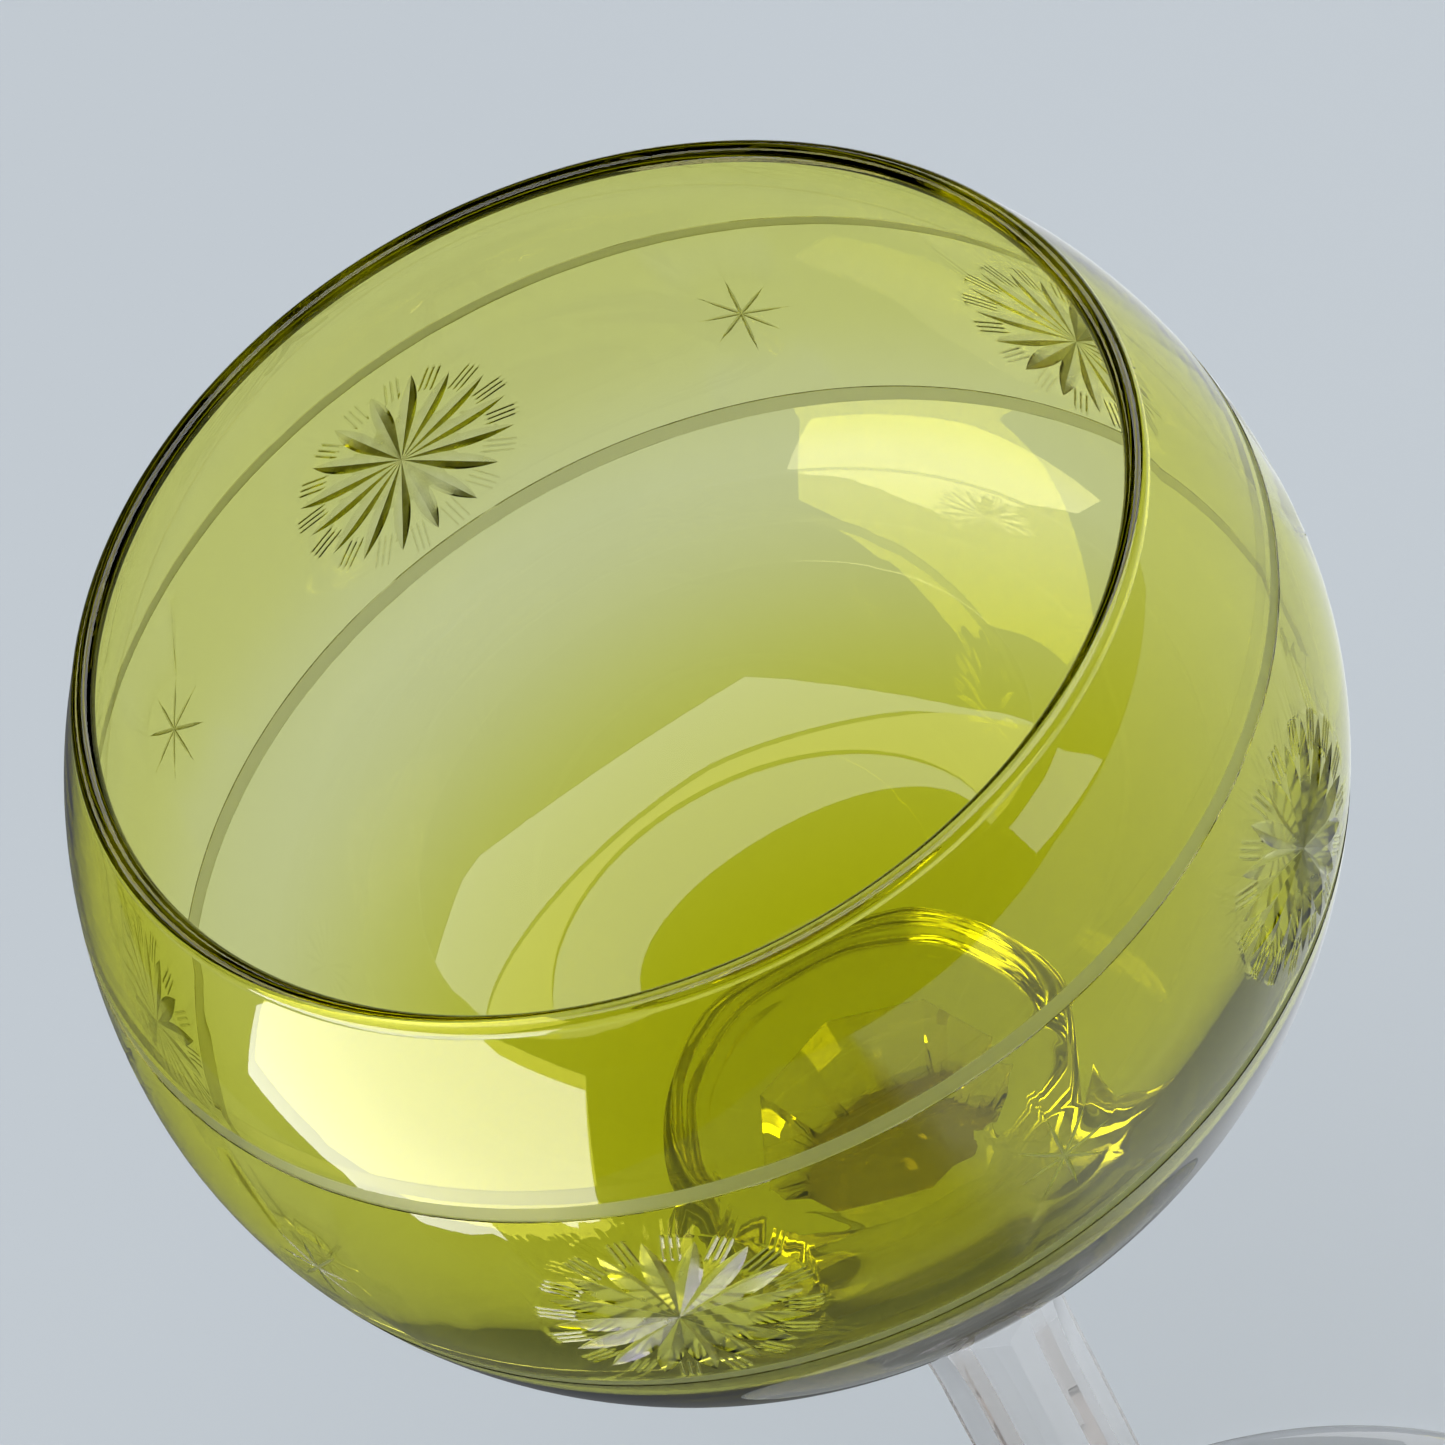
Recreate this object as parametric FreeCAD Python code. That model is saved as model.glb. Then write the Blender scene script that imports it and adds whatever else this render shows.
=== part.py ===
import FreeCAD, Part
import math
import os

# A stemmed wine glass with a rounded, incurved green bowl on a clear facet-cut stem and a clear disc foot.
# The glass stands on z = 0, and its axis is the Z axis. All sizes are in millimetres.

# Overall sizes
GLASS_HEIGHT = 150.0
RIM_RADIUS = 32.5
BELLY_RADIUS = 37.9
BELLY_HEIGHT = 129.0
FOOT_RADIUS = 36.8

# Bowl
BOWL_BASE_HEIGHT = 94.0  # lowest point of the bowl's outer surface, on the axis
WALL_AT_RIM = 1.5
WALL_AT_BELLY = 1.4
WALL_AT_BASE = 7.5
OUTER_LOWER_POWER = 1.9  # exponent of a superellipse: 2 is an ellipse, more is fuller
INNER_LOWER_POWER = 2.3
OUTLINE_STEPS = 8
BAND_HEIGHTS = (138.4, 121.2)
BAND_WIDTH = 1.1
BAND_DEPTH = 0.12

# Knop, the flattened bead between bowl and stem
KNOP_RADIUS = 13.9
KNOP_BULGE_HEIGHT = 92.8
KNOP_JOINT_RADIUS = 13.0  # radius of the ring where knop and bowl meet
KNOP_FLOOR_HEIGHT = 88.5
KNOP_BLANK_HEIGHT = 99.0  # top of the bead before the bowl shapes it
KNOP_FLOOR_RADIUS = 9.2

# Stem
FACET_COUNT = 8
FACET_TURN = 4.0  # degrees from +X to the first ridge between two facets
SHANK_ROUND_RADIUS = 5.3
SHANK_RIDGE_RADIUS = 4.85
TOP_FLARE_START = 68.0
FOOT_FLARE_START = 30.0
STEM_FOOT_RADIUS = 9.6
STEM_FOOT_HEIGHT = 9.0
TOP_RIDGE_RADIUS = 9.1
FOOT_RIDGE_RADIUS = 11.5

# Foot
FOOT_EDGE_HEIGHT = 2.1
FOOT_REST_INNER_RADIUS = 27.0
FOOT_HOLLOW = 1.4

SPARE = 20.0  # how far a cutting tool stands clear of the glass


def point(radius, height):
    """A point of an outline in the XZ plane."""
    return FreeCAD.Vector(radius, 0, height)


def line(start, end):
    """A straight edge between two outline points."""
    return Part.LineSegment(start, end).toShape()


def arc(start, middle, end):
    """A circular edge through three outline points."""
    return Part.Arc(start, middle, end).toShape()


def smooth(points, start_direction=None, end_direction=None):
    """One smooth edge through the points, with its end directions where they are given."""
    curve = Part.BSplineCurve()
    if start_direction is None:
        curve.interpolate(Points=points)
    else:
        curve.interpolate(Points=points, InitialTangent=start_direction, FinalTangent=end_direction)
    return curve.toShape()


def turned(edges):
    """The solid swept by a closed outline of edges in one full turn about the Z axis."""
    face = Part.Face(Part.Wire(edges))
    return face.revolve(FreeCAD.Vector(0, 0, 0), FreeCAD.Vector(0, 0, 1), 360)


def superellipse(radius, depth, power, angle):
    """The point of a superellipse quarter at an angle below its widest point, as (radius, drop)."""
    across = radius * math.cos(angle) ** (2 / power)
    drop = depth * math.sin(angle) ** (2 / power)
    return across, drop


def lower_curve(radius, base_height, power):
    """Half a bowl surface, from its widest ring down to its lowest point on the axis."""
    points = []
    for step in range(OUTLINE_STEPS + 1):
        angle = step / OUTLINE_STEPS * math.pi / 2
        across, drop = superellipse(radius, BELLY_HEIGHT - base_height, power, angle)
        points.append(point(round(across, 6), BELLY_HEIGHT - drop))
    return smooth(points, FreeCAD.Vector(0, 0, -1), FreeCAD.Vector(-1, 0, 0))


def upper_curve(belly, rim, rim_height):
    """The elliptical stretch of a bowl surface from its widest ring up to the rim."""
    rise = rim_height - BELLY_HEIGHT
    semi_axis = rise / math.sqrt(1 - (rim / belly) ** 2)
    widest = point(belly, BELLY_HEIGHT)
    ellipse = Part.Ellipse(point(0, BELLY_HEIGHT + semi_axis), widest, point(0, BELLY_HEIGHT))
    ends = sorted([ellipse.parameter(widest), ellipse.parameter(point(rim, rim_height))])
    return Part.ArcOfEllipse(ellipse, ends[0], ends[1]).toShape()


def bowl_outer_solid():
    """The bowl's outer form as if it were solid glass up to the rim's widest height."""
    rim_height = GLASS_HEIGHT - WALL_AT_RIM / 2
    edges = [
        upper_curve(BELLY_RADIUS, RIM_RADIUS, rim_height),
        lower_curve(BELLY_RADIUS, BOWL_BASE_HEIGHT, OUTER_LOWER_POWER),
        line(point(0, BOWL_BASE_HEIGHT), point(0, rim_height)),
        line(point(0, rim_height), point(RIM_RADIUS, rim_height)),
    ]
    return turned(Part.__sortEdges__(edges))


def bowl():
    """The blown bowl: a wall that thickens towards its base, a rounded rim and two ground bands."""
    inner_belly = BELLY_RADIUS - WALL_AT_BELLY
    inner_rim = RIM_RADIUS - WALL_AT_RIM
    rim_height = GLASS_HEIGHT - WALL_AT_RIM / 2
    floor_height = BOWL_BASE_HEIGHT + WALL_AT_BASE
    edges = [
        upper_curve(BELLY_RADIUS, RIM_RADIUS, rim_height),
        lower_curve(BELLY_RADIUS, BOWL_BASE_HEIGHT, OUTER_LOWER_POWER),
        line(point(0, BOWL_BASE_HEIGHT), point(0, floor_height)),
        lower_curve(inner_belly, floor_height, INNER_LOWER_POWER),
        upper_curve(inner_belly, inner_rim, rim_height),
        arc(point(inner_rim, rim_height), point(inner_rim + WALL_AT_RIM / 2, GLASS_HEIGHT),
            point(RIM_RADIUS, rim_height)),
    ]
    glass = turned(Part.__sortEdges__(edges))
    for height in BAND_HEIGHTS:
        glass = glass.cut(band_groove(height))
    return glass


def outer_radius(height):
    """The radius of the bowl's outer surface at a height."""
    if height < BELLY_HEIGHT:
        share = (BELLY_HEIGHT - height) / (BELLY_HEIGHT - BOWL_BASE_HEIGHT)
        return BELLY_RADIUS * (1 - share ** OUTER_LOWER_POWER) ** (1 / OUTER_LOWER_POWER)
    rise = GLASS_HEIGHT - WALL_AT_RIM / 2 - BELLY_HEIGHT
    semi_axis = rise / math.sqrt(1 - (RIM_RADIUS / BELLY_RADIUS) ** 2)
    return BELLY_RADIUS * math.sqrt(1 - ((height - BELLY_HEIGHT) / semi_axis) ** 2)


def band_groove(height):
    """The ring of glass that the wheel grinds away for one matte band."""
    low = height - BAND_WIDTH / 2
    high = height + BAND_WIDTH / 2
    bottom = point(outer_radius(low) - BAND_DEPTH, low)
    top = point(outer_radius(high) - BAND_DEPTH, high)
    beyond = BELLY_RADIUS + SPARE
    corners = [bottom, top, point(beyond, high), point(beyond, low)]
    edges = [line(corners[i], corners[(i + 1) % len(corners)]) for i in range(len(corners))]
    return turned(edges)


def knop():
    """The flattened bead that takes the bowl's weight onto the stem. Its top is shaped by the bowl."""
    edges = [
        line(point(0, KNOP_FLOOR_HEIGHT), point(KNOP_FLOOR_RADIUS, KNOP_FLOOR_HEIGHT)),
        smooth([point(KNOP_FLOOR_RADIUS, KNOP_FLOOR_HEIGHT), point(KNOP_RADIUS, KNOP_BULGE_HEIGHT),
                point(KNOP_JOINT_RADIUS, KNOP_BLANK_HEIGHT)],
               FreeCAD.Vector(1, 0, 0.15), FreeCAD.Vector(-0.5, 0, 1)),
        line(point(KNOP_JOINT_RADIUS, KNOP_BLANK_HEIGHT), point(0, KNOP_BLANK_HEIGHT)),
        line(point(0, KNOP_BLANK_HEIGHT), point(0, KNOP_FLOOR_HEIGHT)),
    ]
    return turned(edges).cut(bowl_outer_solid())


def flare(start_radius, start_height, end_radius, end_height):
    """An arc that leaves the shank upright and reaches the flared end."""
    span = end_height - start_height
    rise = end_radius - start_radius
    sweep_radius = (span ** 2 + rise ** 2) / (2 * rise)
    half_angle = math.atan2(rise, abs(span))
    middle_radius = start_radius + sweep_radius * (1 - math.cos(half_angle))
    middle_height = start_height + math.copysign(sweep_radius * math.sin(half_angle), span)
    return arc(point(start_radius, start_height), point(middle_radius, middle_height),
               point(end_radius, end_height))


def facet_tool(direction):
    """What the grinding wheel takes off one side of the stem: everything outside one facet."""
    inward = math.cos(math.pi / FACET_COUNT)
    shank = SHANK_RIDGE_RADIUS * inward
    top = TOP_RIDGE_RADIUS * inward
    bottom = FOOT_RIDGE_RADIUS * inward
    low, high = FOOT_FLARE_START, TOP_FLARE_START
    edges = [
        flare(shank, low, bottom, STEM_FOOT_HEIGHT),
        line(point(shank, low), point(shank, high)),
        flare(shank, high, top, KNOP_FLOOR_HEIGHT),
        line(point(top, KNOP_FLOOR_HEIGHT), point(SPARE, KNOP_FLOOR_HEIGHT)),
        line(point(SPARE, KNOP_FLOOR_HEIGHT), point(SPARE, STEM_FOOT_HEIGHT)),
        line(point(SPARE, STEM_FOOT_HEIGHT), point(bottom, STEM_FOOT_HEIGHT)),
    ]
    face = Part.Face(Part.Wire(Part.__sortEdges__(edges)))
    face.translate(FreeCAD.Vector(0, -SPARE / 2, 0))
    tool = face.extrude(FreeCAD.Vector(0, SPARE, 0))
    tool.rotate(FreeCAD.Vector(0, 0, 0), FreeCAD.Vector(0, 0, 1), direction)
    return tool


def stem():
    """The solid stem: a round gather flared at both ends, with flat sides ground along it."""
    low, high = FOOT_FLARE_START, TOP_FLARE_START
    edges = [
        line(point(0, STEM_FOOT_HEIGHT), point(STEM_FOOT_RADIUS, STEM_FOOT_HEIGHT)),
        flare(SHANK_ROUND_RADIUS, low, STEM_FOOT_RADIUS, STEM_FOOT_HEIGHT),
        line(point(SHANK_ROUND_RADIUS, low), point(SHANK_ROUND_RADIUS, high)),
        flare(SHANK_ROUND_RADIUS, high, KNOP_FLOOR_RADIUS, KNOP_FLOOR_HEIGHT),
        line(point(KNOP_FLOOR_RADIUS, KNOP_FLOOR_HEIGHT), point(0, KNOP_FLOOR_HEIGHT)),
        line(point(0, KNOP_FLOOR_HEIGHT), point(0, STEM_FOOT_HEIGHT)),
    ]
    glass = turned(Part.__sortEdges__(edges))
    step = 360 / FACET_COUNT
    for index in range(FACET_COUNT):
        glass = glass.cut(facet_tool(FACET_TURN + (index + 0.5) * step))
    return glass


def foot():
    """The disc foot: it rests on a flat ring, is a little hollow inside it and rises to the stem."""
    edge_radius = FOOT_EDGE_HEIGHT / 2
    rest_outer_radius = FOOT_RADIUS - edge_radius
    top_points = [
        point(rest_outer_radius, FOOT_EDGE_HEIGHT),
        point(26.0, 3.3),
        point(17.0, 5.0),
        point(12.0, 6.9),
        point(STEM_FOOT_RADIUS, STEM_FOOT_HEIGHT),
    ]
    hollow_middle = FOOT_REST_INNER_RADIUS / 2
    edges = [
        arc(point(0, FOOT_HOLLOW), point(hollow_middle, FOOT_HOLLOW * 0.75),
            point(FOOT_REST_INNER_RADIUS, 0)),
        line(point(FOOT_REST_INNER_RADIUS, 0), point(rest_outer_radius, 0)),
        arc(point(rest_outer_radius, 0), point(FOOT_RADIUS, edge_radius), top_points[0]),
        smooth(top_points),
        line(top_points[-1], point(0, STEM_FOOT_HEIGHT)),
        line(point(0, STEM_FOOT_HEIGHT), point(0, FOOT_HOLLOW)),
    ]
    return turned(edges)


PIECES = {"bowl": bowl, "knop": knop, "stem": stem, "foot": foot}


os.makedirs("parts", exist_ok=True)
for name, make in PIECES.items():
    shape = make()
    if len(shape.Solids) != 1:
        raise ValueError(name + " is not one solid")
    solid = shape.Solids[0]
    solid.exportStep("parts/" + name + ".step")
    print(name, "valid", solid.isValid(), "volume", round(solid.Volume), "box", solid.BoundBox)
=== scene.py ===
import math

import bmesh
import bpy
import numpy as np
from mathutils import Matrix, Vector


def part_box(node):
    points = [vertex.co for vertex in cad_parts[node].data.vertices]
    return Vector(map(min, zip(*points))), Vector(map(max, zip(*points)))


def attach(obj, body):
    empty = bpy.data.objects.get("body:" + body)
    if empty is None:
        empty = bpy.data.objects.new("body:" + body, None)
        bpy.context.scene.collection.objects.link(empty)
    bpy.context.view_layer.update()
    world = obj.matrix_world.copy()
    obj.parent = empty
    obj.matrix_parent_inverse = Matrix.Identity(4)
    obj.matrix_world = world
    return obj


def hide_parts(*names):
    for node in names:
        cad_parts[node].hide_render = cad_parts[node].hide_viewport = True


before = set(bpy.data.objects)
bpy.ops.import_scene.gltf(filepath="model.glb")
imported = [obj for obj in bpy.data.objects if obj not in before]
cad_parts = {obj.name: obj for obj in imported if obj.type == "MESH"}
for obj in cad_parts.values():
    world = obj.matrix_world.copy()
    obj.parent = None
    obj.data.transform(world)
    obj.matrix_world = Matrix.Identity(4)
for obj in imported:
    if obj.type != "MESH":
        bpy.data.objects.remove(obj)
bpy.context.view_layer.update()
MM = 0.001


# ---------------------------------------------------------------------------------------------
# Foot. A disc of clear glass, pressed out while hot, that rests on a flat ring round a shallow
# hollow and rises in the middle to a little mound, which the stem is fused to.

FOOT_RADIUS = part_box("foot")[1].x
FOOT_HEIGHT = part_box("foot")[1].z
FOOT_EDGE_HEIGHT = 2.1 * MM
FOOT_REST_RADIUS = 27 * MM
FOOT_HOLLOW = 1.4 * MM
FOOT_MOUND_RADIUS = 9.6 * MM
FOOT_COLUMNS = 192
FUSED = 0.03 * MM  # how far fused pieces reach into each other, so that no air is between them
MERGE_WITHIN = 0.0008 * MM
DEGENERATE_WITHIN = 0.0004 * MM
CLEAR_TINT = (0.78, 0.64, 0.52, 1)
CLEAR_DENSITY = 14
CLEAR_CORDS = 0.006 * MM  # height of the faint waves that the melt leaves
CLEAR_GRAIN = 0.01 * MM
CLEAR_CHALK = (0.8, 0.8, 0.8, 1)
GLASS_INDEX = 1.5
CHALK_SHARE = 0.45  # how much of a ground place scatters light like chalk


def smooth_line(points, steps):
    """A Catmull-Rom curve through points: each stretch is a cubic whose end slopes are half the
    difference of the neighbouring points. Every stretch gets the given number of steps."""
    known = np.array(points, float)
    known = np.vstack([2 * known[0] - known[1], known, 2 * known[-1] - known[-2]])
    t = np.linspace(0, 1, steps, endpoint=False)[:, None]
    stretches = []
    for a, b, c, d in zip(known[:-3], known[1:-2], known[2:-1], known[3:]):
        stretches.append(b + t * (c - a) / 2 + t ** 2 * (2 * a - 5 * b + 4 * c - d) / 2
                         + t ** 3 * (3 * b - 3 * c + d - a) / 2)
    return np.vstack(stretches + [known[-2:-1]])


def straight(start, end, steps):
    """Evenly spaced points of a line, without its end."""
    return np.linspace(start, end, steps, endpoint=False)


def arc(centre, radius, start, end, steps):
    """Points of a circular arc in the (radius, height) plane, between two angles in degrees."""
    angle = np.radians(np.linspace(start, end, steps))
    return np.stack([centre[0] + radius * np.cos(angle), centre[1] + radius * np.sin(angle)], 1)


def turned(outline, azimuths):
    """A grid of points: every (radius, height) of the outline, at every azimuth."""
    radius = outline[:, 0:1]
    height = outline[:, 1:2]
    return np.stack([radius * np.cos(azimuths), radius * np.sin(azimuths),
                     height + 0 * azimuths], 2)


def round_about(columns):
    """Azimuths of a full turn, in radians, with the first repeated at the end."""
    return np.linspace(0, 2 * np.pi, columns + 1)


def make_piece(name, sheets, crease=30):
    """One closed piece from grids of points that meet along their edges. Each sheet is a grid
    and a grid of ground share, 0 for polished glass and 1 for matte; doubles are merged."""
    points = []
    faces = []
    ground = []
    count = 0
    for grid, matte in sheets:
        rows, columns = grid.shape[:2]
        corner = (np.arange(rows - 1)[:, None] * columns + np.arange(columns - 1)).reshape(-1, 1)
        faces.append(count + corner + np.array([0, 1, columns + 1, columns]))
        points.append(grid.reshape(-1, 3))
        ground.append(np.broadcast_to(matte, (rows, columns)).ravel())
        count += rows * columns
    mesh = bpy.data.meshes.new(name)
    mesh.from_pydata(np.vstack(points), [], np.vstack(faces).tolist())
    layer = mesh.attributes.new("ground", "FLOAT", "POINT")
    layer.data.foreach_set("value", np.concatenate(ground).astype(np.float32))
    shell = bmesh.new()
    shell.from_mesh(mesh)
    bmesh.ops.remove_doubles(shell, verts=shell.verts, dist=MERGE_WITHIN)
    bmesh.ops.dissolve_degenerate(shell, edges=shell.edges, dist=DEGENERATE_WITHIN)
    bmesh.ops.recalc_face_normals(shell, faces=shell.faces)
    shell.to_mesh(mesh)
    shell.free()
    mesh.shade_smooth()
    mesh.set_sharp_from_angle(angle=math.radians(crease))
    piece = bpy.data.objects.new(name, mesh)
    bpy.context.scene.collection.objects.link(piece)
    return piece


class Shade:
    """A shader socket that Python's operators work on. Each operator adds one Math node."""

    def __init__(self, tree, socket=None):
        self.tree = tree
        self.socket = socket

    def node(self, kind, settings, inputs, output=0):
        """Adds a node: its settings are set first, then its sockets get values or links."""
        made = self.tree.nodes.new(kind)
        for name, value in settings.items():
            setattr(made, name, value)
        for name, value in inputs.items():
            if isinstance(value, Shade):
                self.tree.links.new(value.socket, made.inputs[name])
            else:
                made.inputs[name].default_value = value
        return Shade(self.tree, made.outputs[output]) if len(made.outputs) else None

    def maths(self, operation, first, second):
        return self.node("ShaderNodeMath", {"operation": operation}, {0: first, 1: second})

    def __add__(self, other):
        return self.maths("ADD", self, other)

    def __radd__(self, other):
        return self.maths("ADD", other, self)

    def __sub__(self, other):
        return self.maths("SUBTRACT", self, other)

    def __rsub__(self, other):
        return self.maths("SUBTRACT", other, self)

    def __mul__(self, other):
        return self.maths("MULTIPLY", self, other)

    def __rmul__(self, other):
        return self.maths("MULTIPLY", other, self)

    def between(self, low, high):
        """0 below low, 1 above high, and a smooth step between them."""
        return self.node("ShaderNodeMapRange", {"interpolation_type": "SMOOTHSTEP"},
                         {"Value": self, "From Min": low, "From Max": high})


def noise(at, scale, detail=2.0, stretch=(1, 1, 1), place=(0, 0, 0)):
    """Noise from 0 to 1 in the piece's own space, stretched along its axes."""
    where = at.node("ShaderNodeMapping", {}, {"Vector": at, "Scale": stretch, "Location": place})
    return at.node("ShaderNodeTexNoise", {}, {"Vector": where, "Scale": scale, "Detail": detail})


def new_material(name):
    """An empty material, and a Shade to build its nodes from."""
    material = bpy.data.materials.new(name)
    material.use_nodes = True
    material.node_tree.nodes.clear()
    return material, Shade(material.node_tree)


def glass_finish(name, tint, density, cords, grain_height, chalk_colour):
    """Solid glass: light is absorbed by depth, faint cords from the melt bend it, finger marks
    dull it a little, and ground places are matte with a fine grain."""
    material, bench = new_material(name)
    at = bench.node("ShaderNodeTexCoord", {}, {}, "Object")
    ground = bench.node("ShaderNodeAttribute", {"attribute_name": "ground"}, {}, "Fac")
    grain = noise(at, 2600, 3)
    ragged = noise(at, 900, 2)
    matte = (ground + (ragged - 0.5) * 0.2).between(0.25, 0.75)
    marks = noise(at, 55, 4, (1, 1, 0.6)).between(0.55, 0.8)
    swirl = noise(at, 70, 1.5, (1, 1, 0.35), (3, 1, 2))
    drawn = noise(at, 240, 1, (1, 1, 0.2), (7, 5, 1))
    height = swirl * cords + drawn * (cords * 0.12) + matte * grain * grain_height
    normal = bench.node("ShaderNodeBump", {}, {"Height": height, "Distance": 1.0, "Strength": 1.0})
    rough = matte * (0.3 + grain * 0.25) + marks * 0.012
    glass = bench.node("ShaderNodeBsdfPrincipled", {},
                       {"Roughness": rough, "Normal": normal, "Base Color": (1, 1, 1, 1),
                        "Transmission Weight": 1.0, "IOR": GLASS_INDEX})
    chalk = bench.node("ShaderNodeBsdfPrincipled", {},
                       {"Base Color": chalk_colour, "Roughness": 0.9, "Normal": normal,
                        "Specular IOR Level": 0.2})
    glass = bench.node("ShaderNodeMixShader", {}, {0: matte * CHALK_SHARE, 1: glass, 2: chalk})
    depth = bench.node("ShaderNodeVolumeAbsorption", {}, {"Color": tint, "Density": density})
    bench.node("ShaderNodeOutputMaterial", {}, {"Surface": glass, "Volume": depth})
    return material


def foot_outline():
    """The foot's closed (radius, height) outline, from the axis underneath round to the top."""
    edge = FOOT_EDGE_HEIGHT / 2
    hollow = straight(0, 1, 16)[:, None]
    under = np.hstack([hollow * FOOT_REST_RADIUS, FOOT_HOLLOW * (1 - hollow ** 2)])
    rest = straight((FOOT_REST_RADIUS, 0), (FOOT_RADIUS - edge, 0), 6)
    rounded = arc((FOOT_RADIUS - edge, edge), edge, -90, 78, 12)
    top = smooth_line([rounded[-1], (26 * MM, 3.3 * MM), (17 * MM, 5.0 * MM), (12 * MM, 6.9 * MM),
                       (FOOT_MOUND_RADIUS, FOOT_HEIGHT)], 12)
    centre = straight((FOOT_MOUND_RADIUS, FOOT_HEIGHT), (0, FOOT_HEIGHT), 6)
    return np.vstack([under, rest, rounded, top[1:-1], centre, [(0, FOOT_HEIGHT)]])


clear_glass = glass_finish("clear_glass", CLEAR_TINT, CLEAR_DENSITY, CLEAR_CORDS, CLEAR_GRAIN,
                           CLEAR_CHALK)
foot_grid = turned(foot_outline(), round_about(FOOT_COLUMNS))
foot = make_piece("foot_disc", [(foot_grid, 0.0)])
foot.data.materials.append(clear_glass)
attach(foot, "root")
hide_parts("foot")


# ---------------------------------------------------------------------------------------------
# Stem. A solid rod of clear glass that flares at both ends. Eight flat sides are ground along it
# and polished, so that it has sharp ridges, and it is fused to the foot and to the knop.

STEM_SIDES = 8
STEM_TURN = math.radians(4)  # azimuth of the first ridge
STEM_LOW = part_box("stem")[0].z
STEM_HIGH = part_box("stem")[1].z
SHANK_RADIUS = 4.85 * MM  # to a ridge
SHANK_LOW = 30 * MM
SHANK_HIGH = 68 * MM
STEM_FOOT_RADIUS = 11.5 * MM
STEM_FOOT_ROUND = 9.6 * MM
STEM_TOP_RADIUS = 9.1 * MM
SIDE_COLUMNS = 10


def flare(height, start, end, shank, flared):
    """The radius of an arc that leaves the shank upright at start and is flared at end."""
    span = end - start
    rise = flared - shank
    sweep = (span ** 2 + rise ** 2) / (2 * rise)
    along = np.clip((height - start) / span, 0, 1) * span
    return shank + sweep - np.sqrt(sweep ** 2 - along ** 2)


def stem_grid():
    """At every height an octagon whose ridges are at the flare's radius, cut off by the round
    rod: the radius is the flare's side distance over the cosine of the angle off a side's middle."""
    low = STEM_LOW - FUSED
    high = STEM_HIGH + FUSED
    height = np.concatenate([straight(low, SHANK_LOW, 24), straight(SHANK_LOW, SHANK_HIGH, 10),
                             np.linspace(SHANK_HIGH, high, 28)])[:, None]
    ridge = (flare(height, SHANK_LOW, STEM_LOW, SHANK_RADIUS, STEM_FOOT_RADIUS)
             + flare(height, SHANK_HIGH, STEM_HIGH, SHANK_RADIUS, STEM_TOP_RADIUS) - SHANK_RADIUS)
    half_side = math.pi / STEM_SIDES
    azimuth = STEM_TURN + round_about(STEM_SIDES * SIDE_COLUMNS)
    off_middle = (azimuth - STEM_TURN) % (2 * half_side) - half_side
    radius = np.minimum(ridge * math.cos(half_side) / np.cos(off_middle), STEM_FOOT_ROUND)
    side = np.stack([radius * np.cos(azimuth), radius * np.sin(azimuth), height + 0 * radius], 2)
    shares = np.linspace(0, 1, 5)[:, None, None] * np.array([1, 1, 0]) + np.array([0, 0, 1])
    return np.vstack([(side[0] * shares)[:-1], side, (side[-1] * shares[::-1])[1:]])


stem = make_piece("faceted_stem", [(stem_grid(), 0.0)], 20)
stem.data.materials.append(clear_glass)
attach(stem, "root")
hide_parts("stem")


# ---------------------------------------------------------------------------------------------
# Bowl, its shape. Green glass, blown and then cut: the wall is thin at the rim and thick at the
# base, and both surfaces are a rounded lower half under a shorter, incurved upper half.

RIM_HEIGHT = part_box("bowl")[1].z
BOWL_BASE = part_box("bowl")[0].z
BELLY_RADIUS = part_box("bowl")[1].x
BELLY_HEIGHT = 129 * MM
RIM_RADIUS = 32.5 * MM
RIM_WALL = 1.5 * MM
BELLY_WALL = 1.4 * MM
BASE_WALL = 7.5 * MM
OUTER_POWER = 1.9
INNER_POWER = 2.3
LOWER_STEPS = 3000
UPPER_STEPS = 1500


class Wall:
    """One surface of the bowl, as a curve that is measured from the widest ring, up being
    positive. Below the ring it is a superellipse, r = a cos^(2/p), drop = b sin^(2/p); above
    it an ellipse that reaches the rim."""

    def __init__(self, belly, rim, base, power):
        rise = RIM_HEIGHT - RIM_WALL / 2 - BELLY_HEIGHT
        tall = rise / math.sqrt(1 - (rim / belly) ** 2)
        low = np.linspace(math.pi / 2, 0, LOWER_STEPS, endpoint=False)
        high = np.linspace(0, math.acos(rim / belly), UPPER_STEPS)
        self.radius = np.concatenate([belly * np.cos(low) ** (2 / power), belly * np.cos(high)])
        self.radius[0] = 0
        drop = (BELLY_HEIGHT - base) * np.sin(low) ** (2 / power)
        self.height = np.concatenate([BELLY_HEIGHT - drop, BELLY_HEIGHT + tall * np.sin(high)])
        step = np.hypot(np.diff(self.radius), np.diff(self.height))
        self.along = np.concatenate([[0], np.cumsum(step)])
        self.along -= self.along[len(low)]

    def at_height(self, height):
        """How far along the curve a height is."""
        return np.interp(height, self.height, self.along)

    def at_radius(self, radius):
        """How far along the lower half a radius is."""
        lower = self.along <= 0
        return np.interp(radius, self.radius[lower], self.along[lower])

    def place(self, azimuth, along, depth=0.0):
        """Points of the surface, sunk into the glass by depth along the surface's normal."""
        radius = np.interp(along, self.along, self.radius)
        height = np.interp(along, self.along, self.height)
        out = np.interp(along, self.along, np.gradient(self.height, self.along))
        up = -np.interp(along, self.along, np.gradient(self.radius, self.along))
        length = np.hypot(out, up)
        radius = radius - depth * out / length
        height = height - depth * up / length
        return np.stack([radius * np.cos(azimuth), radius * np.sin(azimuth),
                         height + 0 * azimuth], -1)


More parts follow.
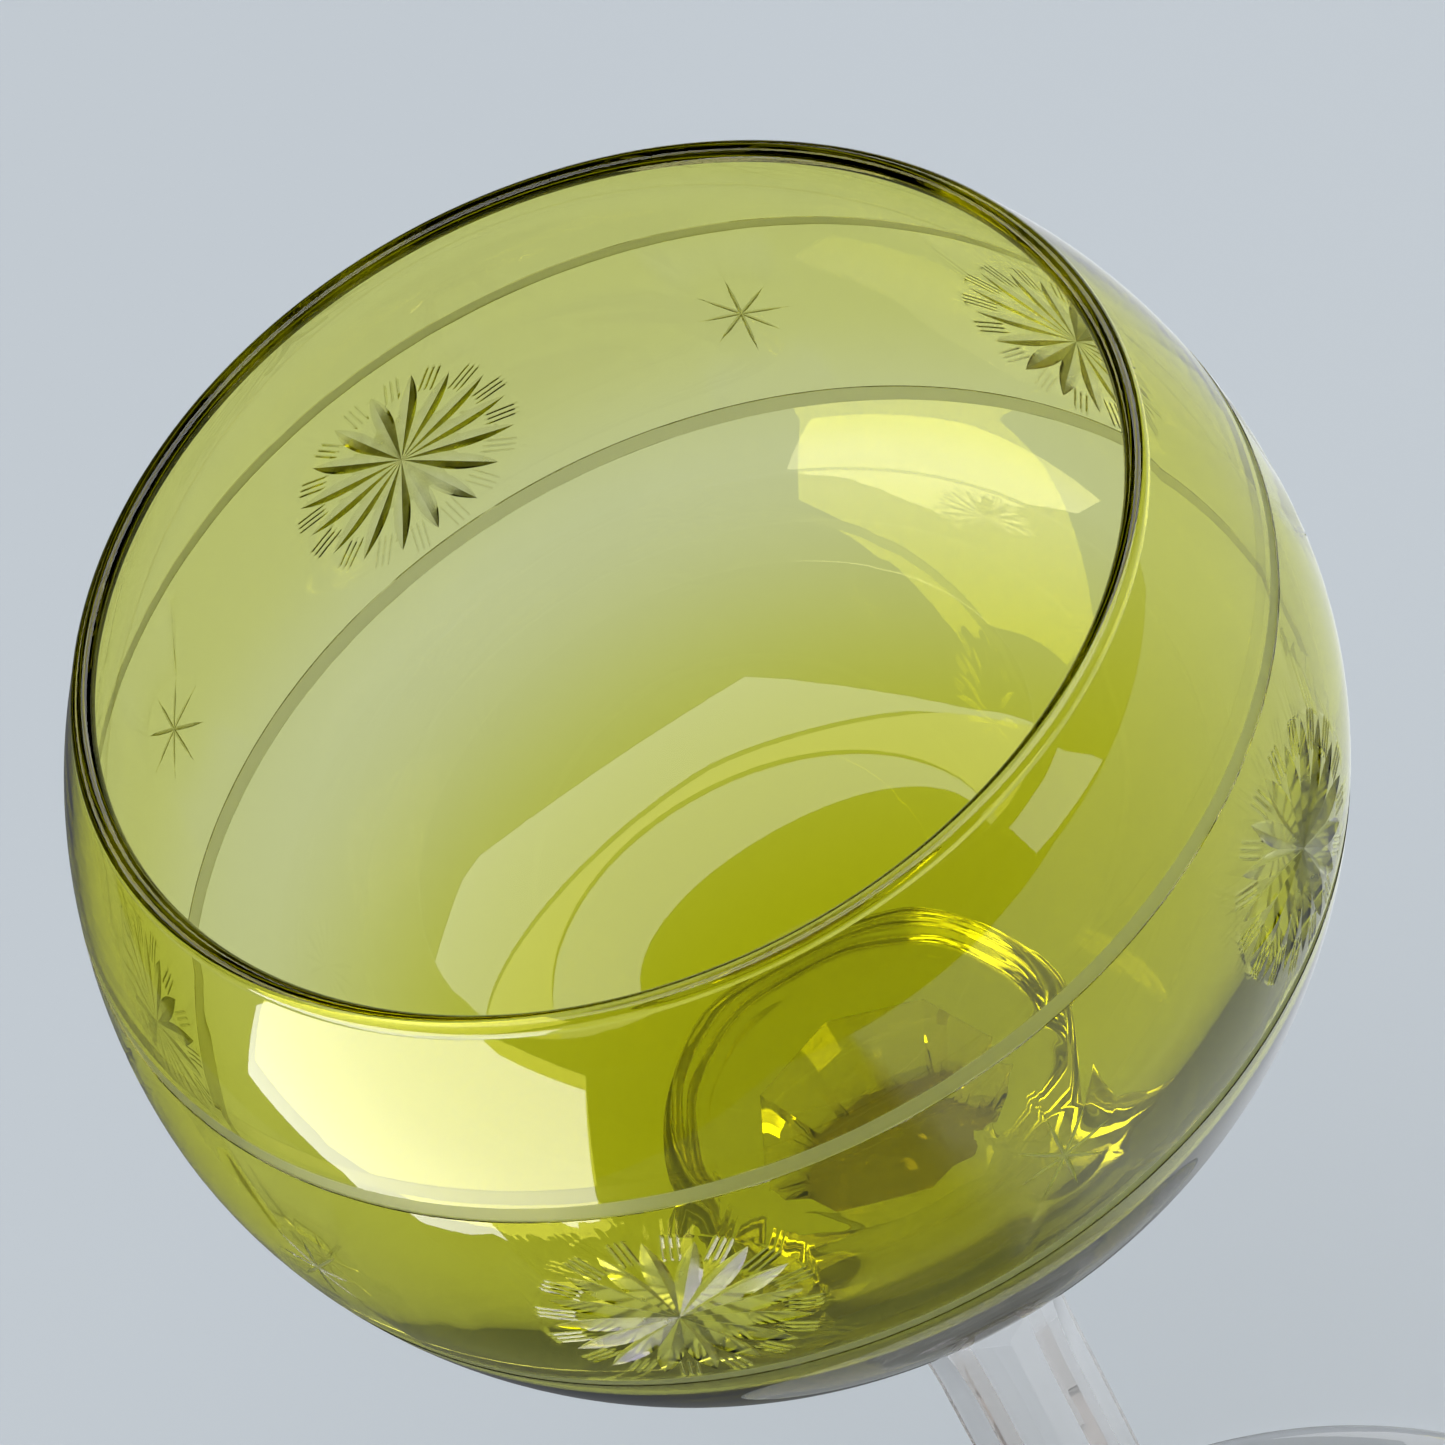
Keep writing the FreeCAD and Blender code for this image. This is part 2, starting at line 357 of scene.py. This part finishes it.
outside = Wall(BELLY_RADIUS, RIM_RADIUS, BOWL_BASE, OUTER_POWER)
inside = Wall(BELLY_RADIUS - BELLY_WALL, RIM_RADIUS - RIM_WALL, BOWL_BASE + BASE_WALL, INNER_POWER)


# ---------------------------------------------------------------------------------------------
# Knop. A flattened bead of clear glass, dropped onto the stem while soft. The bowl is pressed
# into its top, so its upper face has the shape of the bowl's base.

KNOP_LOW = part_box("knop")[0].z
KNOP_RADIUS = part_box("knop")[1].x
KNOP_BULGE_HEIGHT = 92.8 * MM
KNOP_JOINT_RADIUS = 13.0 * MM
KNOP_FLOOR_RADIUS = 9.2 * MM
KNOP_COLUMNS = 240
KNOP_TINT = (0.93, 0.925, 0.87, 1)
KNOP_DENSITY = 60
RIPPLE_PITCH = 1.5 * MM
RIPPLE_SIZE = 0.09 * MM
RIPPLE_FROM = 10.5  # radius in millimetres where the ripples begin to show
RIPPLE_FADE = 2


def knop_outline():
    """The bead's outline: a flat floor, a bulging side, and a top that lies in the bowl's base."""
    floor = straight((0, KNOP_LOW), (KNOP_FLOOR_RADIUS, KNOP_LOW), 8)
    joint = np.linspace(outside.at_radius(KNOP_JOINT_RADIUS), outside.along[0], 24)
    top = outside.place(np.zeros(24), joint, FUSED)[:, [0, 2]]
    top[-1, 0] = 0
    side = smooth_line([(KNOP_FLOOR_RADIUS, KNOP_LOW), (12.3 * MM, 89.6 * MM),
                        (KNOP_RADIUS - 0.1 * MM, KNOP_BULGE_HEIGHT), (13.75 * MM, 94.4 * MM),
                        top[0]], 24)
    return np.vstack([floor, side[:-1], top])


def rippled(grid):
    """The bead with the marks of the tool that shaped it while soft: its side is pressed in by
    a sine of the height whose phase wanders round the bead, fading out towards the axis."""
    azimuth = round_about(KNOP_COLUMNS)[None, :]
    height = grid[:, :, 2]
    side = np.clip((np.hypot(grid[:, :, 0], grid[:, :, 1]) / MM - RIPPLE_FROM)
                   / RIPPLE_FADE, 0, 1)
    wander = (1.1 * np.sin(2 * azimuth + 0.5) + 0.7 * np.sin(5 * azimuth)
              + 0.35 * np.sin(11 * azimuth + 2))
    wave = np.sin(2 * math.pi * height / RIPPLE_PITCH + wander) - 1
    grid[:, :, :2] *= 1 + (RIPPLE_SIZE / KNOP_RADIUS) * (side * wave)[:, :, None]
    return grid


knop_glass = glass_finish("knop_glass", KNOP_TINT, KNOP_DENSITY, CLEAR_CORDS, CLEAR_GRAIN,
                          CLEAR_CHALK)
knop_grid = rippled(turned(knop_outline(), round_about(KNOP_COLUMNS)))
knop = make_piece("knop_bead", [(knop_grid, 0.0)])
knop.data.materials.append(knop_glass)
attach(knop, "root")
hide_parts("knop")


# ---------------------------------------------------------------------------------------------
# Bowl, its cutting and its mesh. Two matte lines are ground round it with a stone wheel, and
# between them large stars and small ones stand in turn, cut with a mitred wheel.

BAND_HEIGHTS = (121.2 * MM, 138.4 * MM)
BAND_HALF = 0.55 * MM
BAND_SIDE = 0.05 * MM
BAND_DEPTH = 0.12 * MM
BAND_RAGGED = 0.05 * MM
PAIRS = 5  # a large star and a small one
FIRST_LARGE = math.radians(30)
PAIR_TURN = 2 * math.pi / PAIRS
LARGE_HALF = math.radians(13.15)
SMALL_HALF = math.radians(6.8)
LARGE_COLUMNS = 32
SMALL_COLUMNS = 16
PLAIN_COLUMNS = 8
BELT_ROWS = 32
GREEN_TINT = (0.924, 0.9195, 0.01, 1)
GREEN_DENSITY = 760
GREEN_CORDS = 0.01 * MM
GREEN_GRAIN = 0.005 * MM
GREEN_CHALK = (0.45, 0.48, 0.2, 1)

STAR_RAYS = 16
RAY_LENGTH = 7.15 * MM
RAY_HALF_WIDTH = 0.72 * MM
RAY_WIDEST = 0.6  # as a share of the length
RAY_SLOPE = 0.55
STAR_WIDER = 1.077
STAR_LOWER = 0.923
STROKE_LEAD = 4.7 * MM  # from here the mesh's columns gather for the strokes
STROKE_START = 5.45 * MM
STROKE_END = 7.85 * MM
STROKE_HALF = 0.17 * MM
STROKE_GAP = 0.42 * MM
STROKE_DEPTH = 0.055 * MM
STROKE_GROUND = 0.6
RAY_GROUND = 0.5
LARGE_RINGS = np.array([0, 0.25, 0.6, 1, 1.5, 2, 2.5, 3, 3.5, 4, 4.5, 5, 5.45, 5.6, 5.9, 6.2, 6.5,
                        6.7, 6.9, 7.1, 7.3, 7.45, 7.7, 7.85]) * MM

SMALL_RAYS = 8
SMALL_LENGTH = 3.2 * MM
SMALL_HALF_WIDTH = 0.14 * MM
SMALL_DEPTH = 0.07 * MM
SMALL_RINGS = np.array([0, 0.15, 0.3, 0.6, 1, 1.4, 1.8, 2.2, 2.6, 2.9, 3.2, 3.5]) * MM

rng = np.random.default_rng(7)
band_along = outside.at_height(np.array(BAND_HEIGHTS))
belt = np.linspace(band_along[0] + BAND_HALF, band_along[1] - BAND_HALF, BELT_ROWS + 1)


def star_columns(rays, samples):
    """For each column round a star: its ray, its side of that ray, and its sample off the ray."""
    column = np.arange(rays * 2 * samples + 1)
    ray = (column + samples) // (2 * samples)
    off = column - ray * 2 * samples
    return ray, np.sign(off), np.abs(off)


def window_ring(azimuths, samples):
    """The edge of a star's window as (azimuth, along), once round from the middle of its right
    side: with each column's share of the way round taken as a place on the edge's points."""
    columns = len(azimuths) - 1
    right = np.stack([np.full(BELT_ROWS, azimuths[-1]), belt[:-1]], 1)
    top = np.stack([azimuths[:0:-1], np.full(columns, belt[-1])], 1)
    left = np.stack([np.full(BELT_ROWS, azimuths[0]), belt[:0:-1]], 1)
    bottom = np.stack([azimuths[:-1], np.full(columns, belt[0])], 1)
    edge = np.roll(np.vstack([right, top, left, bottom]), -BELT_ROWS // 2, 0)
    return edge[(np.arange(samples) * len(edge) // (samples - 1)) % len(edge)]


def large_star(centre, azimuths):
    """Sixteen leaf-shaped grooves with a V section: half their width is
    w (1 - ((s - m) / l)^2) at distance s from the centre, and the depth falls off from the
    middle of the groove at a steady slope. Three fine strokes stand between each two tips."""
    samples = 8
    ray, side, sample = star_columns(STAR_RAYS, samples)
    ray_length = RAY_LENGTH * (1 + rng.uniform(-0.04, 0.05, STAR_RAYS))[ray % STAR_RAYS]
    ray_turn = rng.uniform(-0.012, 0.012, STAR_RAYS)[ray % STAR_RAYS]
    s = LARGE_RINGS[:, None]
    half_sector = s * math.sin(math.pi / STAR_RAYS)
    widest = ray_length * RAY_WIDEST
    reach = np.where(s < widest, widest * 1.05, ray_length - widest)
    leaf = RAY_HALF_WIDTH * np.clip(1 - ((s - widest) / reach) ** 2, 0, None)
    edge = np.minimum(leaf, half_sector)
    evenly = edge + (half_sector - edge) * np.clip((sample - 3) / 5, 0, 1)
    stroke = half_sector - STROKE_GAP
    stroke_spots = np.stack([edge, stroke - STROKE_HALF + 0 * edge, stroke + 0 * edge,
                             stroke + STROKE_HALF + 0 * edge, half_sector - STROKE_HALF + 0 * edge,
                             half_sector + 0 * edge])
    spot = np.clip(sample - 3, 0, 5)
    by_stroke = np.take_along_axis(stroke_spots, spot[None, None, :] + 0 * s[None].astype(int), 0)[0]
    by_stroke = np.maximum(by_stroke, edge)
    in_strokes = np.clip((s - STROKE_LEAD) / (STROKE_START - STROKE_LEAD), 0, 1)
    off = np.where(sample <= 3, edge * sample / 3, evenly + (by_stroke - evenly) * in_strokes)
    angle = ray * 2 * math.pi / STAR_RAYS + ray_turn * (1 - off / np.maximum(half_sector, 1e-9))
    angle = angle + side * np.arcsin(np.clip(off / np.maximum(s, 1e-9), 0, 1))
    depth = RAY_SLOPE * np.clip(leaf - off, 0, None)
    stroke_middle = ((sample == 5) | (sample == 8)) & (s > STROKE_START) & (s < STROKE_END)
    depth = np.maximum(depth, STROKE_DEPTH * stroke_middle)
    ground = np.where(stroke_middle, STROKE_GROUND, RAY_GROUND * (leaf > off))
    azimuth = centre + STAR_WIDER * s * np.cos(angle) / BELLY_RADIUS
    along = STAR_LOWER * s * np.sin(angle)
    rim = window_ring(azimuths, len(sample))
    azimuth = np.vstack([azimuth, rim[:, 0]])
    along = np.vstack([along, rim[:, 1]])
    none = np.zeros((1, len(sample)))
    return outside.place(azimuth, along, np.vstack([depth, none])), np.vstack([ground, none])


def small_star(centre, azimuths):
    """Eight thin matte cuts that cross at one point and taper to their tips."""
    samples = 6
    ray, side, sample = star_columns(SMALL_RAYS, samples)
    ray_length = SMALL_LENGTH * (1 + rng.uniform(-0.12, 0.08, SMALL_RAYS))[ray % SMALL_RAYS]
    s = SMALL_RINGS[:, None]
    half_sector = s * math.sin(math.pi / SMALL_RAYS)
    width = SMALL_HALF_WIDTH * np.clip((ray_length - s) / (0.4 * ray_length), 0.02, 1)
    edge = np.minimum(width, half_sector)
    evenly = edge + (half_sector - edge) * np.clip((sample - 2) / 4, 0, 1)
    off = np.where(sample <= 2, edge * sample / 2, evenly)
    angle = ray * 2 * math.pi / SMALL_RAYS
    angle = angle + side * np.arcsin(np.clip(off / np.maximum(s, 1e-9), 0, 1))
    within = s < ray_length
    depth = SMALL_DEPTH * within * np.clip(1 - off / width, 0, 1)
    ground = within * np.clip(1.3 - off / width, 0, 1)
    azimuth = centre + s * np.cos(angle) / BELLY_RADIUS
    along = s * np.sin(angle)
    rim = window_ring(azimuths, len(sample))
    azimuth = np.vstack([azimuth, rim[:, 0]])
    along = np.vstack([along, rim[:, 1]])
    none = np.zeros((1, len(sample)))
    return outside.place(azimuth, along, np.vstack([depth, none])), np.vstack([ground, none])


def belt_sheets():
    """The belt between the two ground lines, star by star, and the azimuths of all its columns."""
    sheets = []
    azimuths = []
    for pair in range(PAIRS):
        large = FIRST_LARGE + pair * PAIR_TURN
        small = large + PAIR_TURN / 2
        across_large = np.linspace(large - LARGE_HALF, large + LARGE_HALF, LARGE_COLUMNS + 1)
        across_small = np.linspace(small - SMALL_HALF, small + SMALL_HALF, SMALL_COLUMNS + 1)
        next_large = large + PAIR_TURN - LARGE_HALF
        before = np.linspace(across_large[-1], across_small[0], PLAIN_COLUMNS + 1)
        after = np.linspace(across_small[-1], next_large, PLAIN_COLUMNS + 1)
        sheets.append(large_star(large, across_large))
        sheets.append(small_star(small, across_small))
        for plain in (before, after):
            sheets.append((outside.place(plain[None, :], belt[:, None]), 0.0))
        azimuths += [across_large[:-1], before[:-1], across_small[:-1], after[:-1]]
    azimuths = np.concatenate(azimuths)
    return sheets, np.append(azimuths, azimuths[0] + 2 * math.pi)


def waver(azimuths, size):
    """An uneven edge that closes on itself: a few sine waves of random phase round the bowl."""
    phase = rng.uniform(0, 2 * math.pi, 6)
    waves = [np.sin(azimuths * n + p) / 6 for n, p in zip((3, 7, 16, 31, 53, 88), phase)]
    return size * sum(waves)


def band_sheet(azimuths, middle):
    """One ground line: a shallow flat-bottomed channel with steep, slightly ragged sides."""
    spots = [-BAND_HALF, -BAND_HALF + BAND_SIDE, -BAND_HALF / 3, BAND_HALF / 3,
             BAND_HALF - BAND_SIDE, BAND_HALF]
    depth = np.array([0, 1, 1, 1, 1, 0])[:, None] * BAND_DEPTH
    rows = middle + np.array(spots)[:, None] + 0 * azimuths
    rows[1:5] += waver(azimuths, BAND_RAGGED)
    matte = np.array([0.0, 1, 1, 1, 1, 0.0])[:, None]
    return outside.place(azimuths[None, :], rows, depth + 0 * azimuths), matte


def bowl_sheets():
    """All of the bowl, from the middle of its underside up and over the rim to its inner floor."""
    sheets, azimuths = belt_sheets()
    low_band, high_band = band_along
    lower = np.linspace(outside.along[0], low_band - BAND_HALF, 52)
    upper = np.linspace(high_band + BAND_HALF, outside.along[-1], 13)
    for rows in (lower, upper):
        sheets.append((outside.place(azimuths[None, :], rows[:, None]), 0.0))
    for middle in band_along:
        sheets.append(band_sheet(azimuths, middle))
    lip = arc((RIM_RADIUS - RIM_WALL / 2, RIM_HEIGHT - RIM_WALL / 2), RIM_WALL / 2, 0, 180, 13)
    sheets.append((turned(lip, azimuths), 0.0))
    inner = np.linspace(inside.along[-1], inside.along[0], 72)
    sheets.append((inside.place(azimuths[None, :], inner[:, None]), 0.0))
    return sheets


green_glass = glass_finish("green_glass", GREEN_TINT, GREEN_DENSITY, GREEN_CORDS, GREEN_GRAIN,
                           GREEN_CHALK)
bowl = make_piece("cut_bowl", bowl_sheets(), 16)
bowl.data.materials.append(green_glass)
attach(bowl, "root")
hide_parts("bowl")


# ---------------------------------------------------------------------------------------------
# Studio. A pale matt table in a pale room. A lamp that casts no shadows lights the table evenly,
# and flat soft lights, which only the glass sees, give it the shapes that it mirrors.

TABLE_HALF = 6.0
TABLE_GAP = 0.1 * MM
TABLE_COLOUR = (0.60, 0.65, 0.70, 1)
ROOM_COLOUR = (0.80, 0.84, 0.88, 1)
ROOM_STRENGTH = 0.6
ROOM_GLOOM = 0.40  # how much darker the room is overhead
SKY_STRENGTH = 2.2
SKY_SPREAD = math.radians(70)
PLAIN_LIGHT = (1, 1, 1, 1)
LEFT_BOX_LIGHT = (1, 0.96, 1.1, 1)
LEFT_BOX_RADIANCE = 6.5
RIGHT_BOX_RADIANCE = 2.5
CARD_LIGHT = (0.9, 0.95, 1, 1)
CARD_RADIANCE = 0.95
CARD_FADE = (0.005, 0.05)  # the card is dim before the first place along X, full after the second
CARD_DIM = 0.15
ARCH_HEIGHT = 1000  # the arch's sizes are in millimetres
ARCH_BACK = 360
ARCH_RUN_ON = 1200
ARCH_SEAM = np.array([0, 9, 0])  # half the dark gap between two of the arch's lights
ARCH_MIDDLE_LIGHT = (1, 0.95, 0.42, 1)

table_paint, paint = new_material("table_paint")
table_at = paint.node("ShaderNodeTexCoord", {}, {}, "Object")
table_speckle = noise(table_at, 400, 3)
table_shade = paint.node("ShaderNodeBsdfPrincipled", {},
                         {"Base Color": TABLE_COLOUR, "Roughness": 0.75 + table_speckle * 0.1,
                          "Specular IOR Level": 0.1})
paint.node("ShaderNodeOutputMaterial", {}, {"Surface": table_shade})
corners = np.array([(-1, -1, 0), (1, -1, 0), (1, 1, 0), (-1, 1, 0)]) * TABLE_HALF
corners = corners - (0, 0, TABLE_GAP)
table_mesh = bpy.data.meshes.new("table")
table_mesh.from_pydata(corners, [], [(0, 1, 2, 3)])
table_mesh.materials.append(table_paint)
table = bpy.data.objects.new("table", table_mesh)
bpy.context.scene.collection.objects.link(table)
table.visible_glossy = False

room = bpy.data.worlds.new("room")
room.use_nodes = True
room.node_tree.nodes.clear()
air = Shade(room.node_tree)
direction = air.node("ShaderNodeTexCoord", {}, {}, "Generated")
upward = direction.node("ShaderNodeSeparateXYZ", {}, {"Vector": direction}, "Z")
gloom = upward.between(0.0, 0.55)
room_light = air.node("ShaderNodeBackground", {},
                      {"Color": ROOM_COLOUR, "Strength": ROOM_STRENGTH - gloom * ROOM_GLOOM})
air.node("ShaderNodeOutputWorld", {}, {"Surface": room_light})
bpy.context.scene.world = room
room.cycles_visibility.glossy = False

sky_lamp = bpy.data.lights.new("sky_lamp", "SUN")
sky_lamp.energy = SKY_STRENGTH
sky_lamp.angle = SKY_SPREAD
sky_lamp.use_shadow = False
sky = bpy.data.objects.new("sky_lamp", sky_lamp)
sky.visible_glossy = False
sky.visible_transmission = False
bpy.context.scene.collection.objects.link(sky)


def soft_box(name, one_edge, other_edge, radiance, colour=PLAIN_LIGHT, through=False,
             fade=None):
    """A flat soft light: the strip between two edges, which are lists of as many points in
    millimetres. The glass mirrors it, and it does not light the table. It shows through the
    glass only where it is told to, and it may fade in between two places along X."""
    cloth, bench = new_material(name)
    if fade:
        across = bench.node("ShaderNodeTexCoord", {}, {}, "Object")
        across = across.node("ShaderNodeSeparateXYZ", {}, {"Vector": across}, "X")
        share = across.between(*fade) * (1 - CARD_DIM) + CARD_DIM
        colour = bench.node("ShaderNodeMix", {"data_type": "RGBA"},
                            {0: share, 6: (0, 0, 0, 1), 7: colour}, 2)
    glow = bench.node("ShaderNodeEmission", {}, {"Color": colour, "Strength": radiance})
    bench.node("ShaderNodeOutputMaterial", {}, {"Surface": glow})
    edges = np.stack([one_edge, other_edge], 1) * MM
    first = 2 * np.arange(len(edges) - 1)[:, None]
    mesh = bpy.data.meshes.new(name)
    mesh.from_pydata(edges.reshape(-1, 3), [], (first + np.array([0, 1, 3, 2])).tolist())
    mesh.materials.append(cloth)
    box = bpy.data.objects.new(name, mesh)
    box.visible_camera = False
    box.visible_diffuse = False
    box.visible_transmission = through
    box.visible_shadow = False
    bpy.context.scene.collection.objects.link(box)


def upright(azimuth, distance, spots):
    """Points of an upright plane that faces the glass, from (across to the right as seen from
    the glass's front, above the table) in millimetres."""
    turn = math.radians(azimuth)
    return [(math.sin(turn) * distance + math.cos(turn) * across,
             -math.cos(turn) * distance + math.sin(turn) * across, up) for across, up in spots]


def horseshoe(middle, half_width, reach, power):
    """Half a superellipse that opens to the back, with straight ends that run on backwards."""
    turn = np.linspace(0, math.pi, 41)
    across = half_width * np.sign(np.cos(turn)) * np.abs(np.cos(turn)) ** (2 / power)
    ahead = reach * np.sin(turn) ** (2 / power)
    bend = np.stack([middle + across, ARCH_BACK - ahead, ARCH_HEIGHT + 0 * across], 1)
    run_on = np.array([0, ARCH_RUN_ON, 0])
    return np.vstack([bend[:1] + run_on, bend, bend[-1:] + run_on])


def bent(corners, count):
    """Points spread evenly along straight lines between corners, at the arch's height."""
    corners = np.array(corners, float)
    along = np.concatenate([[0], np.cumsum(np.hypot(*np.diff(corners, axis=0).T))])
    spots = np.linspace(0, along[-1], count)
    return np.stack([np.interp(spots, along, corners[:, 0]), np.interp(spots, along, corners[:, 1]),
                     np.full(count, ARCH_HEIGHT)], 1)


soft_box("left_box", upright(-68, 250, [(85, -60), (-30, 3), (-142, 48)]),
         upright(-68, 250, [(138, 135), (3, 192), (-118, 112)]), LEFT_BOX_RADIANCE,
         LEFT_BOX_LIGHT, through=True)
soft_box("right_box", upright(52, 400, [(-90, 175), (-84, 130)]),
         upright(52, 400, [(15, 170), (42, 118)]), RIGHT_BOX_RADIANCE)
soft_box("right_card", [(-300, -1500, 1), (-300, 1200, 1)], [(1500, -1500, 1), (1500, 1200, 1)],
         CARD_RADIANCE, CARD_LIGHT, fade=CARD_FADE)
outer_edge = bent([(1660, 1200), (1081, 272), (737, -274), (-210, -428), (-701, 241),
                   (-1400, 1200)], 43)
outer_seam = horseshoe(-20, 745, 517, 1.55)
inner_seam = horseshoe(20, 442, 450, 2.0)
inner_edge = horseshoe(-75, 320, 240, 2.0)
soft_box("arch_outer", outer_edge, outer_seam - ARCH_SEAM, 3.3)
soft_box("arch_middle", outer_seam + ARCH_SEAM, inner_seam - ARCH_SEAM, 3.6, ARCH_MIDDLE_LIGHT)
soft_box("arch_inner", inner_seam + ARCH_SEAM, inner_edge, 3.0)


# ---------------------------------------------------------------------------------------------
# Camera. It looks down into the bowl from the front with a long lens, and is tilted sideways.

CAMERA_LENS = 198.75
SENSOR_WIDTH = 36
CAMERA_DISTANCE = 0.45494  # from the middle of the rim
CAMERA_RISE = math.radians(45.776)
CAMERA_AIM = (0.00224, 0, RIM_HEIGHT - 0.01653)
CAMERA_ROLL = math.radians(-27.294)

lens = bpy.data.cameras.new("camera")
lens.lens = CAMERA_LENS
lens.sensor_width = SENSOR_WIDTH
lens.clip_start = 0.01
lens.clip_end = 100
camera = bpy.data.objects.new("camera", lens)
place = Vector((0, -math.cos(CAMERA_RISE), math.sin(CAMERA_RISE))) * CAMERA_DISTANCE
place.z += RIM_HEIGHT
look = (Vector(CAMERA_AIM) - place).to_track_quat("-Z", "Y").to_matrix().to_4x4()
camera.matrix_world = Matrix.Translation(place) @ look @ Matrix.Rotation(CAMERA_ROLL, 4, "Z")
bpy.context.scene.collection.objects.link(camera)
scene = bpy.context.scene
scene.camera = camera
scene.view_settings.view_transform = "Standard"
scene.cycles.max_bounces = 24
scene.cycles.transmission_bounces = 24
scene.cycles.glossy_bounces = 12

bpy.context.view_layer.update()
